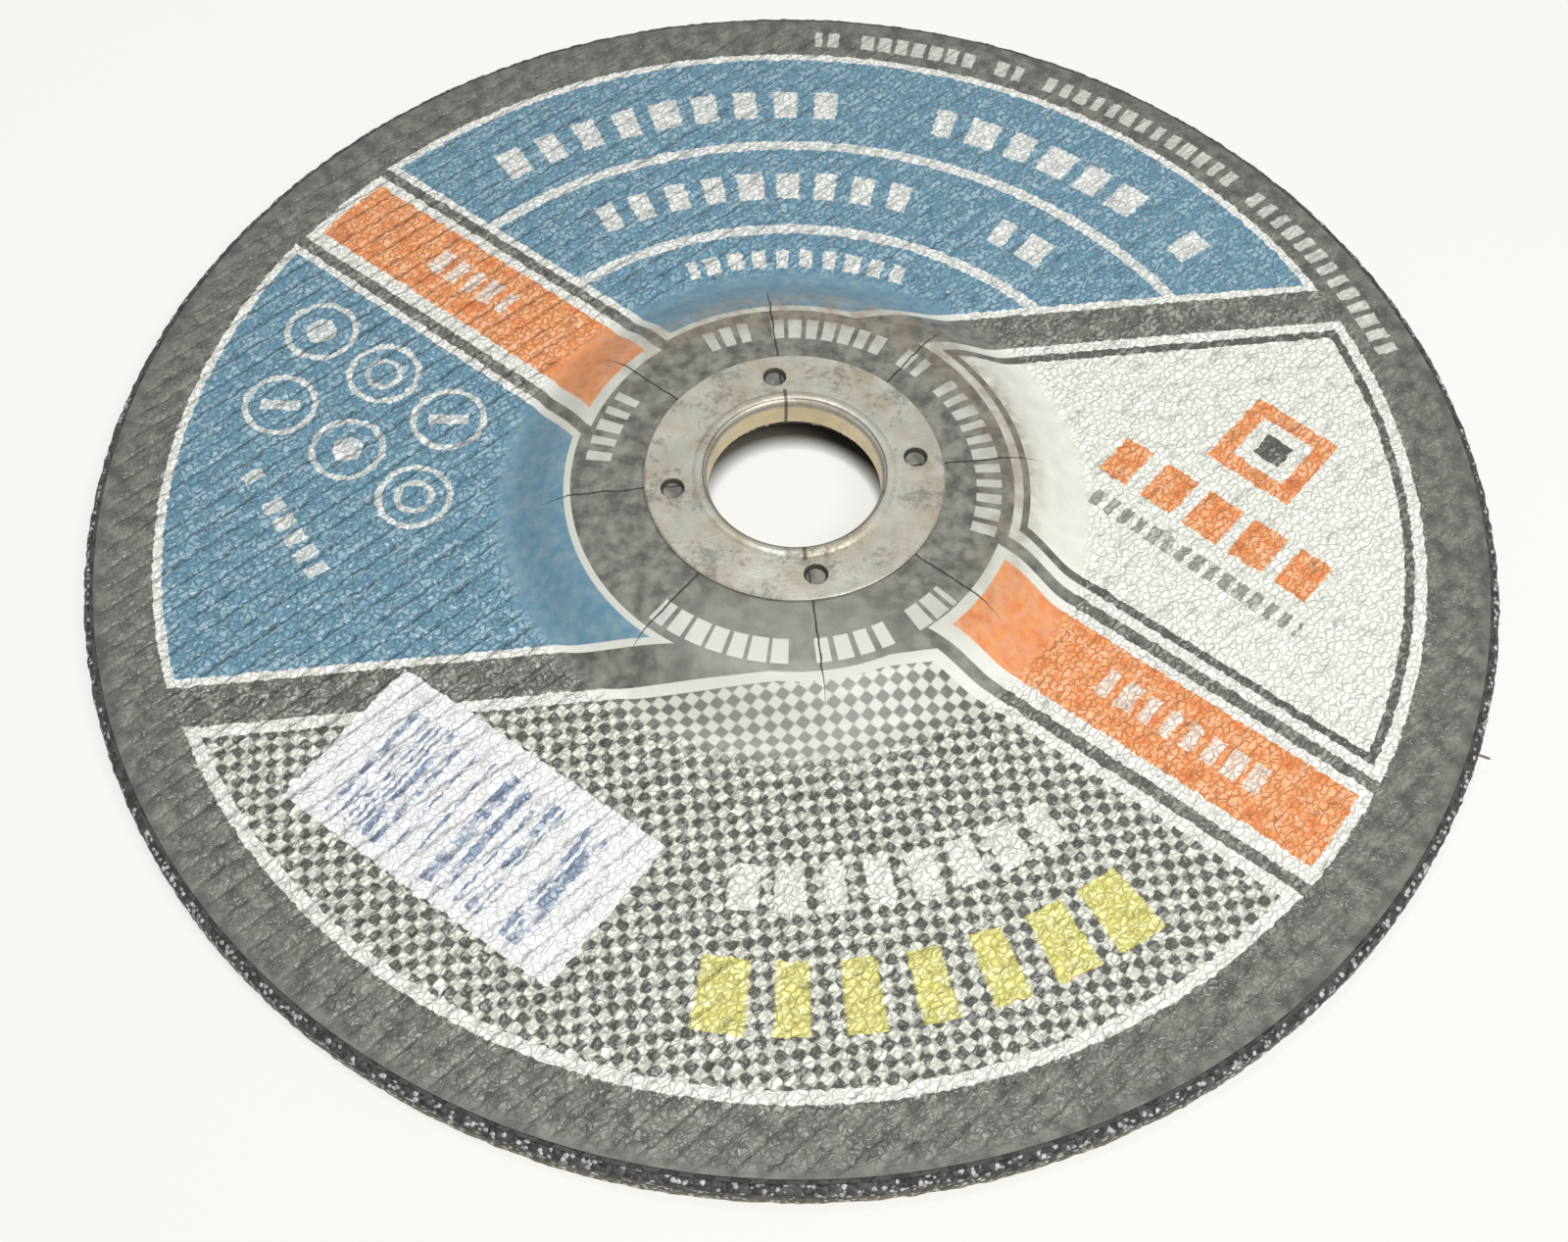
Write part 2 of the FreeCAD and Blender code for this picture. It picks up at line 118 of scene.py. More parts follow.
# Plain rings on the left field: angle and distance from the axis, and their own radius and line.
RING_PLACES = ((158.7, 69.0), (169.7, 69.0), (161.8, 57.8), (174.7, 58.3), (166.7, 46.7), (182.2, 48.5))
RING_RADIUS, RING_LINE = 4.6, 0.8

# The stage: half the floor's side, its drop below the grinding face, its glow, and the two lamps.
FLOOR_SIDE = 3.0
FLOOR_DROP = 0.03 * MM
FLOOR_GLOW = 0.8
KEY_PLACE, KEY_SIDE = (0.22, -0.26, 0.50), 0.22
SPARK_PLACE, SPARK_SIDE = (-0.05, 0.03, 0.60), 0.07


# Surfaces worked out as whole arrays.


def dish_height(radius, lift):
    """Height of a dished surface that lies a given lift above the underside.

    Inside the shoulder's centre it is the hub's flat. Then come an arc bent downwards about the
    shoulder's centre, a straight slope, an arc bent upwards about the foot's centre, and the rim's flat.
    """
    shoulder, foot = SHOULDER_RADIUS + lift, THICKNESS + FOOT_RADIUS - lift
    sine, cosine = math.sin(RAMP_ANGLE), math.cos(RAMP_ANGLE)
    shoulder_z, foot_z = DISH_DEPTH - SHOULDER_RADIUS, THICKNESS + FOOT_RADIUS
    ramp_start, ramp_end = SHOULDER_AT + shoulder * sine, FOOT_AT - foot * sine
    on_shoulder = shoulder_z + np.sqrt(np.maximum(shoulder**2 - (radius - SHOULDER_AT) ** 2, 0.0))
    on_foot = foot_z - np.sqrt(np.maximum(foot**2 - (FOOT_AT - radius) ** 2, 0.0))
    on_ramp = shoulder_z + shoulder * cosine - (radius - ramp_start) * math.tan(RAMP_ANGLE)
    return np.select(
        [radius < SHOULDER_AT, radius < ramp_start, radius < ramp_end, radius < FOOT_AT],
        [DISH_DEPTH + lift, on_shoulder, on_ramp, on_foot],
        lift,
    )


def smooth_step(value, low, high):
    """0 below low, 1 above high, and the cubic 3t^2 - 2t^3 between them."""
    t = np.clip((value - low) / (high - low), 0.0, 1.0)
    return t * t * (3.0 - 2.0 * t)


def uneven(u, v, seed, period=None):
    """Heights between -1 and 1, random at whole numbers of u and v and blended smoothly between them.

    With a period, the pattern repeats after that many whole steps of u, so a strip closes on itself.
    """
    table = np.random.default_rng(seed).uniform(-1.0, 1.0, (TABLE, TABLE))
    wrap = period or TABLE
    i, j = np.floor(u), np.floor(v)
    a, b = u - i, v - j
    a, b = a * a * (3.0 - 2.0 * a), b * b * (3.0 - 2.0 * b)

    def corner(di, dj):
        row = np.mod(i + di, wrap).astype(int)
        column = np.mod(j + dj, TABLE).astype(int) + TABLE_SHIFT * (row // TABLE)
        return table[row % TABLE, column % TABLE]

    low = corner(0, 0) * (1.0 - a) + corner(1, 0) * a
    high = corner(0, 1) * (1.0 - a) + corner(1, 1) * a
    return low * (1.0 - b) + high * b


def grid_quads(rows, columns, closed):
    """Quads between the neighbours in a grid that returns to its start along a row, and down it if closed."""
    steps = rows if closed else rows - 1
    row, column = np.meshgrid(np.arange(steps), np.arange(columns), indexing="ij")
    below, beside = (row + 1) % rows, (column + 1) % columns
    corners = ((row, column), (below, column), (below, beside), (row, beside))
    return np.stack([i * columns + j for i, j in corners], -1).reshape(-1, 4)


def ring_surface(name, points):
    """A closed skin through points[i, j], a closed profile i carried once round the axis by j.

    Each point is joined to the next one along the profile and the next one round the axis, and both
    directions return to their start. The skin is turned the right way by the sign of its volume.
    """
    quads = grid_quads(*points.shape[:2], True)
    flat = points.reshape(-1, 3)
    a, b, c, d = (flat[quads[:, k]] for k in range(4))
    volume = np.einsum("ij,ij->", a, np.cross(b, c)) + np.einsum("ij,ij->", a, np.cross(c, d))
    if volume < 0.0:
        quads = quads[:, ::-1]
    return skin(name, flat, quads)


def skin(name, points, quads):
    """A mesh object at the origin from an array of points and an array of quads, shaded smooth."""
    mesh = bpy.data.meshes.new(name)
    mesh.vertices.add(len(points))
    mesh.vertices.foreach_set("co", np.ascontiguousarray(points, dtype=np.float32).ravel())
    mesh.loops.add(quads.size)
    mesh.loops.foreach_set("vertex_index", np.ascontiguousarray(quads, dtype=np.int32).ravel())
    mesh.polygons.add(len(quads))
    mesh.polygons.foreach_set("loop_start", np.arange(0, quads.size, 4, dtype=np.int32))
    mesh.polygons.foreach_set("use_smooth", np.ones(len(quads), dtype=bool))
    mesh.update(calc_edges=True)
    mesh.validate()
    mesh.set_sharp_from_angle(angle=math.radians(50.0))
    piece = bpy.data.objects.new(name, mesh)
    bpy.context.scene.collection.objects.link(piece)
    return piece


def wound(radius, height, steps):
    """Carry a profile, radius and height per point, round the axis: r cos a, r sin a, z."""
    angle = np.arange(steps) / steps * TURN
    flat = np.broadcast_to(radius[:, None], (len(radius), steps))
    return np.stack(
        [flat * np.cos(angle), flat * np.sin(angle), np.broadcast_to(height[:, None], flat.shape)], -1
    ).copy()


def cloth_relief(x, y, pitch):
    """Relief of the cloth that shows through the paper, between about -1 and 1.

    Two families of ridges cross at right angles, each a raised cosine of the distance across it.
    Uneven fields shift and weaken them, and two more add the crumple of the paper itself.
    """
    lean = math.radians(THREAD_DEGREES + 90.0)
    across = x * math.cos(lean) + y * math.sin(lean)
    along = x * math.sin(lean) - y * math.cos(lean)
    wander = uneven(x / (9.0 * MM), y / (9.0 * MM), 3) * 0.18
    warp = np.cos(TURN * (across / pitch + wander + 0.06 * uneven(along / pitch, across / pitch, 4)))
    weft = np.cos(TURN * (along / (1.08 * pitch) + wander + 0.08 * uneven(across / pitch, along / pitch, 5)))
    strength = 0.62 + 0.38 * uneven(x / (5.0 * MM), y / (5.0 * MM), 6)
    crumple = uneven(x / (1.05 * MM), y / (1.05 * MM), 7)
    fine = uneven(across / (0.55 * MM), along / (0.75 * MM), 8)
    return 0.36 * strength * warp + 0.24 * strength * weft + 0.4 * crumple + 0.16 * fine


def label_points(steps, relief_height, relief_pitch):
    """The printed paper: a top with the cloth's relief and the slits, and a plain underside."""
    inner = np.linspace(SHEET_BORE, 26.0 * MM, 16)[:-1]
    slope = np.linspace(26.0 * MM, 38.0 * MM, 18)[:-1]
    field = np.linspace(38.0 * MM, LABEL_RADIUS, 84)
    top_radius = np.concatenate([inner, slope, field])
    low_slope = np.linspace(36.0, 26.8, 9) * MM
    low_radius = np.concatenate([np.linspace(LABEL_RADIUS, 37.6 * MM, 3), low_slope, [SHEET_BORE]])
    top = wound(top_radius, dish_height(top_radius, LABEL_TOP), steps)
    low = wound(low_radius, dish_height(low_radius, LABEL_BOTTOM), steps)

    radius = np.hypot(top[..., 0], top[..., 1])
    raised = smooth_step(radius, 37.5 * MM, 40.5 * MM) * (1.0 - smooth_step(radius, 86.0 * MM, 88.0 * MM))
    top[..., 2] += relief_height * raised * (0.25 + cloth_relief(top[..., 0], top[..., 1], relief_pitch))
    calm = 1.0 - raised
    top[..., 2] += 0.02 * MM * calm * uneven(top[..., 0] / (3.0 * MM), top[..., 1] / (3.0 * MM), 11)

    angle = np.arctan2(top[..., 1], top[..., 0])
    share = TURN / SLIT_COUNT
    off_slit = np.abs(np.mod(angle - SLIT_ANGLE + share / 2.0, share) - share / 2.0) * radius
    half_width = 0.30 * MM * np.clip((SLIT_END - radius) / (10.0 * MM), 0.0, 1.0)
    groove = (1.0 - smooth_step(off_slit, 0.4 * half_width, half_width + 0.12 * MM)) * (half_width > 0.0)
    top[..., 2] -= 0.06 * MM * groove
    return np.concatenate([top, low])


def body_points(steps, grain_height):
    """The moulded abrasive: a closed profile round the axis, with grains in rim and underside.

    The profile runs out under the cloth, round the rim, back along the underside and up the bore. Each
    point of rim and underside moves along the profile's normal, mostly inwards, by an uneven height of
    two grain sizes: normal * grain_height * (0.65 coarse + 0.35 fine - 0.75).
    """
    hidden_bends = np.linspace(27.0, 37.6, 8) * MM
    hidden = np.concatenate([np.linspace(BODY_BORE, 26.0 * MM, 3), hidden_bends, [60 * MM, 86 * MM]])
    corner = np.linspace(0.0, math.pi / 2.0, 6)
    rim_r = np.concatenate(
        [
            np.linspace(88.2, 89.0, 3) * MM,
            DISC_RADIUS - RIM_TOP_ROUND + RIM_TOP_ROUND * np.sin(corner),
            np.full(7, DISC_RADIUS),
            DISC_RADIUS - RIM_BOTTOM_ROUND + RIM_BOTTOM_ROUND * np.cos(corner[1:]),
        ]
    )
    rim_z = np.concatenate(
        [
            np.full(3, THICKNESS),
            THICKNESS - RIM_TOP_ROUND + RIM_TOP_ROUND * np.cos(corner),
            np.linspace(THICKNESS - RIM_TOP_ROUND, RIM_BOTTOM_ROUND, 9)[1:-1],
            RIM_BOTTOM_ROUND - RIM_BOTTOM_ROUND * np.sin(corner[1:]),
        ]
    )
    flat, recess = np.linspace(88.8, 40.0, 22) * MM, np.linspace(38.0, 24.0, 9) * MM
    under = np.concatenate([flat, recess, [18 * MM, BODY_BORE]])
    radius = np.concatenate([hidden, rim_r, under])
    height = np.concatenate([dish_height(hidden, THICKNESS), rim_z, dish_height(under, 0.0)])

    points = wound(radius, height, steps)
    step_r, step_z = np.gradient(radius), np.gradient(height)
    length = np.hypot(step_r, step_z)
    normal_r, normal_z = -step_z / length, step_r / length
    travelled = np.cumsum(length)
    first, last = len(hidden) + 3, len(hidden) + len(rim_r)
    index = np.arange(len(radius))
    on_rim = np.where((index >= first) & (index <= last), 1.0, 0.0)
    on_under = np.where(index > last, 0.22, 0.0)
    on_under[-3:] = 0.05

    around = np.arange(steps) / steps
    u, v = np.meshgrid(around, travelled, indexing="xy")
    coarse = uneven(u * 640.0, v / (0.85 * MM), 21, period=640)
    sharp = np.sign(coarse) * np.abs(coarse) ** 0.7
    fine = uneven(u * 1280.0, v / (0.42 * MM), 22, period=1280)
    grain = (0.65 * sharp + 0.35 * fine - 0.75) * grain_height * (on_rim + on_under)[:, None]
    points[..., 0] += grain * normal_r[:, None] * np.cos(around * TURN)
    points[..., 1] += grain * normal_r[:, None] * np.sin(around * TURN)
    points[..., 2] += grain * normal_z[:, None]
    return points


def tube_points(path, radius, sides):
    """A tube round a path of points: at each point a circle across the path, narrowed at both ends.

    The circle's radius is radius * sqrt(1 - t^8), with t from -1 to 1 along the path.
    """
    along = np.gradient(path, axis=0)
    along /= np.linalg.norm(along, axis=1)[:, None]
    side = np.cross(along, [0.0, 0.0, 1.0])
    side /= np.linalg.norm(side, axis=1)[:, None]
    lift = np.cross(side, along)
    angle = np.arange(sides) / sides * TURN
    girth = radius * np.sqrt(np.clip(1.0 - np.linspace(-1.0, 1.0, len(path)) ** 8, 0.02, 1.0))
    return path[:, None] + girth[:, None, None] * (
        np.cos(angle)[None, :, None] * side[:, None] + np.sin(angle)[None, :, None] * lift[:, None]
    )


def tube_surface(name, path, radius, sides):
    """A closed tube: the skin of tube_points, drawn in to a single point at each end."""
    rings = tube_points(path, radius, sides)
    first, last = (np.repeat(end[:, None], sides, 1) for end in (path[:1], path[-1:]))
    rings = np.concatenate([first, rings, last])
    piece = skin(name, rings.reshape(-1, 3), grid_quads(len(rings), sides, False))
    closed = bmesh.new()
    closed.from_mesh(piece.data)
    bmesh.ops.remove_doubles(closed, verts=closed.verts, dist=1e-7)
    if closed.calc_volume(signed=True) < 0.0:
        bmesh.ops.reverse_faces(closed, faces=closed.faces)
    closed.to_mesh(piece.data)
    closed.free()
    return piece


# Shader expressions.


class Number:
    """A value in a material's node tree. Python's operators add Math nodes to it."""

    def __init__(self, paint, socket):
        self.paint = paint
        self.socket = socket

    def _math(self, operation, *others, clamp=False):
        values = dict(enumerate((self, *others)))
        return self.paint.node("ShaderNodeMath", {"operation": operation, "use_clamp": clamp}, values)

    def _reflected(self, operation, other):
        return self.paint.node("ShaderNodeMath", {"operation": operation}, {0: other, 1: self})

    def __add__(self, other):
        return self._math("ADD", other)

    __radd__ = __add__

    def __sub__(self, other):
        return self._math("SUBTRACT", other)

    def __rsub__(self, other):
        return self._reflected("SUBTRACT", other)

    def __mul__(self, other):
        return self._math("MULTIPLY", other)

    __rmul__ = __mul__

    def __truediv__(self, other):
        return self._math("DIVIDE", other)

    def __rtruediv__(self, other):
        return self._reflected("DIVIDE", other)

    def __abs__(self):
        return self._math("ABSOLUTE")

    def least(self, other):
        """The smaller of two values."""
        return self._math("MINIMUM", other)

    def most(self, other):
        """The larger of two values."""
        return self._math("MAXIMUM", other)

    def floor(self):
        return self._math("FLOOR")

    def fraction(self):
        return self._math("FRACT")

    def sine(self):
        return self._math("SINE")

    def root(self):
        return self._math("SQRT")

    def above(self, edge, soft=0.12):
        """1 where the value is above the edge, 0 below, over a soft width."""
        return (self - edge)._math("MULTIPLY_ADD", 1.0 / soft, 0.5, clamp=True)

    def below(self, edge, soft=0.12):
        """1 where the value is below the edge, 0 above, over a soft width."""
        return (self - edge)._math("MULTIPLY_ADD", -1.0 / soft, 0.5, clamp=True)

    def between(self, low, high, soft=0.12):
        """1 between two edges, 0 outside them, over a soft width."""
        return self.above(low, soft) * self.below(high, soft)


class NodeTree:
    """The nodes of a material or of the world."""

    def __init__(self, holder):
        holder.use_nodes = True
        self.tree = holder.node_tree
        self.tree.nodes.clear()

    def make(self, kind, settings, values):
        """A node: its settings first, then the values or links of its inputs."""
        node = self.tree.nodes.new(kind)
        for name, value in settings.items():
            setattr(node, name, value)
        for key, value in values.items():
            if isinstance(value, Number):
                self.tree.links.new(value.socket, node.inputs[key])
            else:
                node.inputs[key].default_value = value
        return node

    def node(self, kind, settings, values, output=0):
        """A node, as the value that one of its outputs gives."""
        return Number(self, self.make(kind, settings, values).outputs[output])

    def mix(self, factor, first, second, blend="MIX"):
        """A colour between two colours, or the first brightened by the second where blend is DODGE."""
        settings = {"data_type": "RGBA", "clamp_factor": True, "clamp_result": True, "blend_type": blend}
        return self.node("ShaderNodeMix", settings, {0: factor, 6: first, 7: second}, 2)

    def seen(self):
        """1 for what is seen, straight or by way of a mirror or a clear body, and 0 for what lights."""
        path = self.make("ShaderNodeLightPath", {}, {})
        rays = ("Is Camera Ray", "Is Glossy Ray", "Is Transmission Ray")
        camera, glossy, clear = (Number(self, path.outputs[name]) for name in rays)
        return (camera + glossy + clear).least(1.0)


class Paint(NodeTree):
    """One material: its node tree, its coordinates in millimetres and its finished shader."""

    def __init__(self, name):
        self.material = bpy.data.materials.new(name)
        super().__init__(self.material)
        self.position = self.node("ShaderNodeTexCoord", {}, {}, "Object")
        axes = self.make("ShaderNodeSeparateXYZ", {}, {0: self.position})
        self.x, self.y, self.z = (Number(self, axes.outputs[k]) * 1000.0 for k in range(3))

    def noise(self, scale, detail=2.0, roughness=0.5, position=None, space="3D", output=0):
        """An uneven field of this scale, on the object's coordinates or on a position."""
        place = position or self.position
        values = {"Vector": place, "Scale": scale, "Detail": detail, "Roughness": roughness}
        return self.node("ShaderNodeTexNoise", {"noise_dimensions": space}, values, output)

    def cells(self, scale, feature="F1", output="Distance", position=None, space="3D"):
        """Cells round scattered points of this scale."""
        values = {"Vector": position or self.position, "Scale": scale}
        settings = {"feature": feature, "voronoi_dimensions": space}
        return self.node("ShaderNodeTexVoronoi", settings, values, output)

    def channels(self, colour):
        """The three channels of a colour as numbers."""
        split = self.make("ShaderNodeSeparateColor", {}, {0: colour})
        return tuple(Number(self, split.outputs[k]) for k in range(3))

    def arctangent(self, y, x):
        """The angle of a point about the axis, in degrees from -180 to 180."""
        return self.node("ShaderNodeMath", {"operation": "ARCTAN2"}, {0: y, 1: x}) * (360.0 / TURN)

    def chance(self, cell):
        """A random number from 0 to 1 that belongs to a whole number."""
        return self.node("ShaderNodeTexWhiteNoise", {"noise_dimensions": "1D"}, {"W": cell}, "Value")

    def vector(self, x, y, z):
        """A position from its three coordinates."""
        return self.node("ShaderNodeCombineXYZ", {}, {0: x, 1: y, 2: z})

    def along_threads(self):
        """Distances along and across the threads of the cloth, in millimetres."""
        lean = math.radians(THREAD_DEGREES)
        along = self.x * math.cos(lean) + self.y * math.sin(lean)
        return along, self.y * math.cos(lean) - self.x * math.sin(lean)

    def bump(self, height, distance, strength=1.0):
        """The normal of a surface with this relief."""
        values = {"Strength": strength, "Distance": distance, "Height": height}
        return self.node("ShaderNodeBump", {}, values)

    def finish(self, **values):
        """The shader, with each value on the socket of that name."""
        named = {name.replace("_", " "): value for name, value in values.items()}
        shader = self.node("ShaderNodeBsdfPrincipled", {}, named)
        self.make("ShaderNodeOutputMaterial", {}, {"Surface": shader})
        return self.material


def ink(red, green, blue):
    """A colour given as it looks on a screen, from 0 to 255, in the linear values that shaders use."""
    levels = [channel / 255.0 for channel in (red, green, blue)]
    linear = [v / 12.92 if v <= 0.04045 else ((v + 0.055) / 1.055) ** 2.4 for v in levels]
    return (*linear, 1.0)


# The print on the paper.


class PrintPlan:
    """Where each printed field lies, in millimetres on the paper.

    The threads shift the print a little, and on the slope of the hub the paper has crept inwards.
    """

    def __init__(self, paint, true_radius, waver_x, waver_y):
        self.paint = paint
        creep = ((37.0 - true_radius) * (1.0 / 9.0)).least(1.0).most(0.0)
        x, y = paint.x + (waver_x * 0.6 + 0.24), paint.y + (waver_y * 0.6 - 0.12)
        self.radius = (x * x + (y + creep * 0.9) * (y + creep * 0.9)).root()
        self.degrees = paint.arctangent(y, x)
        y = y + creep * (2.4 - paint.x * 0.0545)
        self.x, self.y = x, y
        drift = 0.0067 * (y * STRIP_X - x * STRIP_Y)
        self.across_strip = x * STRIP_X + y * STRIP_Y + drift
        self.along_strip = y * STRIP_X - x * STRIP_Y
        self.across_bar = y * BAR_Y - x * BAR_X

    @staticmethod
    def sector(*distances):
        """Distance inwards from the nearest edge of a field: the least of its distances."""
        nearest = distances[0]
        for distance in distances[1:]:
            nearest = nearest.least(distance)
        return nearest

    def bar(self, x, y, degrees, length, width):
        """A straight bar with its middle at x and y, and the distances along and across it."""
        angle = math.radians(degrees)
        dx, dy = self.x - x, self.y - y
        along = dx * math.cos(angle) + dy * math.sin(angle)
        across = dy * math.cos(angle) - dx * math.sin(angle)
        return abs(along).below(length / 2.0) * abs(across).below(width / 2.0), along, across

    def blocks(self, step, seed, share):
        """Plain blocks, one to each whole step and of uneven width, and 0 where a block is left out."""
        cell, place = step.floor(), step.fraction()
        width = share + 0.3 * (self.paint.chance(cell + seed) - 0.5)
        present = self.paint.chance(cell + (seed + 0.5)).above(0.12, 0.01)
        return abs(place - 0.5).below(width * 0.5, 0.05), present

    def arc_row(self, low, high, start, end, pitch, seed, share=0.62):
        """A row of plain blocks along an arc, between two radii and two angles."""
        block, present = self.blocks((self.degrees - start) / pitch, seed, share)
        return block * present * self.degrees.between(start, end, 0.05) * self.radius.between(low, high)

    def line_row(self, x, y, degrees, length, height, pitch, seed, share=0.62):
        """A row of plain blocks along a straight line."""
        box, along, _ = self.bar(x, y, degrees, length, height)
        block, present = self.blocks((along + length / 2.0) / pitch, seed, share)
        return box * block * present

    def ring(self, degrees, radius, size, line):
        """A plain ring, the distance from its centre, and its two parts."""
        angle = math.radians(degrees)
        dx, dy = self.x - radius * math.cos(angle), self.y - radius * math.sin(angle)
        away = (dx * dx + dy * dy).root()
        return abs(away - size).below(line / 2.0), away, dx, dy


def filled(paint, colour, field, *layers):
    """A colour with a field's layers over it, each from its own distance inside the field's edge."""
    for start, layer in layers:
        colour = paint.mix(field.above(start), colour, layer)
    return colour


def label_paint(colours):
    """Printed paper over cloth: fields of colour, plain marks, gloss on the relief, slits, brown round the
    far side of the hub, rubbed patches, and painted glare, highlights and crease shade.
    """
    paint = Paint("printed_paper")
    true_radius = (paint.x * paint.x + paint.y * paint.y).root()
    band = true_radius.above(81.5, 1.0)
    raised = true_radius.between(38.0, 87.3, 2.0) * (1.0 - 0.35 * band)
    smooth_zone = true_radius.below(38.0, 2.0)

    # Six uneven fields, each used for several finishes.
    blot, cloud, speck = paint.channels(paint.noise(420.0, 3.0, space="2D", output="Color"))
    bend_u, bend_v, film = paint.channels(paint.noise(900.0, 1.0, space="2D", output="Color"))

    plan = PrintPlan(paint, true_radius, (bend_u - 0.5) * raised, (bend_v - 0.5) * raised)
    radius, n, m, s = plan.radius, plan.across_strip, plan.across_bar, plan.along_strip
    wear = (blot.between(0.3, 0.7, 0.4) * 0.4).most(true_radius.below(33.0, 6.0))
    white = paint.mix(wear, colours["white"], colours["white_worn"])
    colour = paint.mix((cloud * 0.5 + blot * 0.5).above(0.5, 0.24), colours["dark"], colours["dark_worn"])

    # Plain marks on the dark ground, brightened on the near slope by a painted glare.
    marks = plan.arc_row(*DARK_ROWS[0])
    for row in DARK_ROWS[1:]:
        marks = marks.most(plan.arc_row(*row))
    # A painted glare on the near slope of the hub, in front of the axis.
    nearness = (paint.y * -0.1 - 1.2).least(1.0).most(0.0)
    near = nearness * true_radius.below(40.0, 4.0) * abs(paint.x).below(13.0, 12.0)
    colour = paint.mix(marks * (0.55 + 0.35 * blot + 0.4 * near), colour, colours["grey_mark"])

    deep = cloud.between(0.3, 0.7, 0.4).most(smooth_zone * 0.8)
    blue = paint.mix(deep, colours["blue"], colours["blue_deep"])
    upper = plan.sector(m - 26.7, n - 9.8, FIELD_RIM - radius, (radius - COLLAR) * COLLAR_SLOPE)
    colour = filled(paint, colour, upper, (0.0, white), (1.15, blue))
    upper_marks = radius.between(61.4, 63.1).most(radius.between(45.15, 46.85))
    for row in UPPER_ROWS:
        upper_marks = upper_marks.most(plan.arc_row(*row))
    colour = paint.mix(upper_marks * upper.above(1.0) * (0.6 + 0.5 * speck), colour, white)

    left = plan.sector(m + 20.3, -8.5 - n, FIELD_RIM - radius, (radius - COLLAR) * COLLAR_SLOPE)
    colour = filled(paint, colour, left, (0.0, white), (1.15, blue))
    circles = None
    for index, (angle, reach) in enumerate(RING_PLACES):
        circle, away, dx, dy = plan.ring(angle, reach, RING_RADIUS, RING_LINE)
        if index % 3 == 0:
            inside = away.below(2.0)
        elif index % 3 == 1:
            inside = abs(dy).below(0.8) * abs(dx).below(2.6)
        else:
            inside = abs(away - 2.2).below(0.4)
        circle = circle.most(inside)
        circles = circle if circles is None else circles.most(circle)
    circles = circles.most(plan.line_row(*LEFT_ROW))
    colour = paint.mix(circles * left.above(1.0) * (0.5 + 0.5 * speck), colour, white)

    silver_field = plan.sector(21.0 - m, n - 9.9, 80.8 - radius, (radius - COLLAR) * COLLAR_SLOPE)
    colour = filled(paint, colour, silver_field, (0.0, white), (1.5, colours["dark"]))
    silver = paint.mix(blot, colours["silver"], colours["silver_dull"])
    colour = paint.mix(silver_field.above(2.7), colour, silver)
    orange = paint.mix(speck.between(0.35, 0.75, 0.3), colours["orange"], colours["orange_pale"])
    _, along, across = plan.bar(62.8, 9.4, -39.0, 12.0, 12.0)
    out = abs(along).most(abs(across))
    colour = paint.mix(out.between(3.8, 6.2), colour, orange)
    colour = paint.mix(out.below(1.9), colour, colours["dark"])
    colour = paint.mix(plan.line_row(*ORANGE_ROW), colour, orange)
    colour = paint.mix(plan.line_row(*SMALL_ROW) * 0.7, colour, colours["dark"])

    checker = plan.sector(-26.0 - m, -8.5 - n, 80.6 - radius, (radius - COLLAR) * COLLAR_SLOPE)
    colour = filled(paint, colour, checker, (0.0, white))
    wave = (n * (math.pi / CHECK_SIDE)).sine() * (s * (math.pi / CHECK_SIDE)).sine()
    squares = paint.mix(wave.above(0.0, 0.35), colours["check_dark"], colours["check_light"])
    colour = paint.mix(checker.above(1.6), colour, squares)
    checker_marks = plan.arc_row(*CHECK_ROW) * checker.above(1.6)
    colour = paint.mix(checker_marks * (0.75 + 0.25 * speck), colour, white)
    yellow_marks = plan.arc_row(*YELLOW_ROW) * checker.above(1.6)
    colour = paint.mix(yellow_marks * (0.7 + 0.3 * blot), colour, colours["yellow"])

    panel, along, across = plan.bar(-36.0, -47.7, -34.7, 40.2, 21.5)
    colour = paint.mix(panel, colour, colours["panel"])
    stripe = (along * (1.0 / STRIPE_WIDTH)).floor()
    present = paint.chance(stripe + 0.5).above(0.66, 0.02)
    striped = present * (abs(along).below(15.5) * abs(across + 0.8).below(8.2))
    colour = paint.mix(striped * (0.2 + cloud.above(0.45, 0.2) * 0.65), colour, colours["panel_blue"])

    strip = plan.sector(8.2 - n, n + 6.8, 80.7 - radius, radius - COLLAR + 0.9)
    colour = filled(paint, colour, strip, (0.0, white))
    strip = plan.sector(6.8 - n, n + 4.7, 79.3 - radius, radius - COLLAR - 0.6)
    colour = filled(paint, colour, strip, (0.0, orange))
    strip_marks = plan.line_row(*STRIP_LEFT_ROW).most(plan.line_row(*STRIP_RIGHT_ROW))
    colour = paint.mix(strip_marks * (0.45 + 0.5 * blot), colour, white)

    # Brown mixed in round the far side of the hub, rubbed paper on its slope, and a painted glare on the near
    # slope.
    far_side = (plan.degrees - 60.0) * (1.0 / 85.0)
    far_side_brown = true_radius.between(24.5, 31.5, 3.0) * abs(far_side).below(1.0, 0.8) * cloud.above(0.42, 0.4)
    colour = paint.mix(far_side_brown * 0.65, colour, colours["stain"])
    rubbed = smooth_zone * (blot * 0.6 + film * 0.4).above(0.52, 0.3)
    # Pale wear in random patches on the smooth slope, and the painted glare on the near slope, both in the
    # worn white.
    colour = paint.mix((rubbed * 0.18).most(near * 0.26), colour, colours["white_worn"])

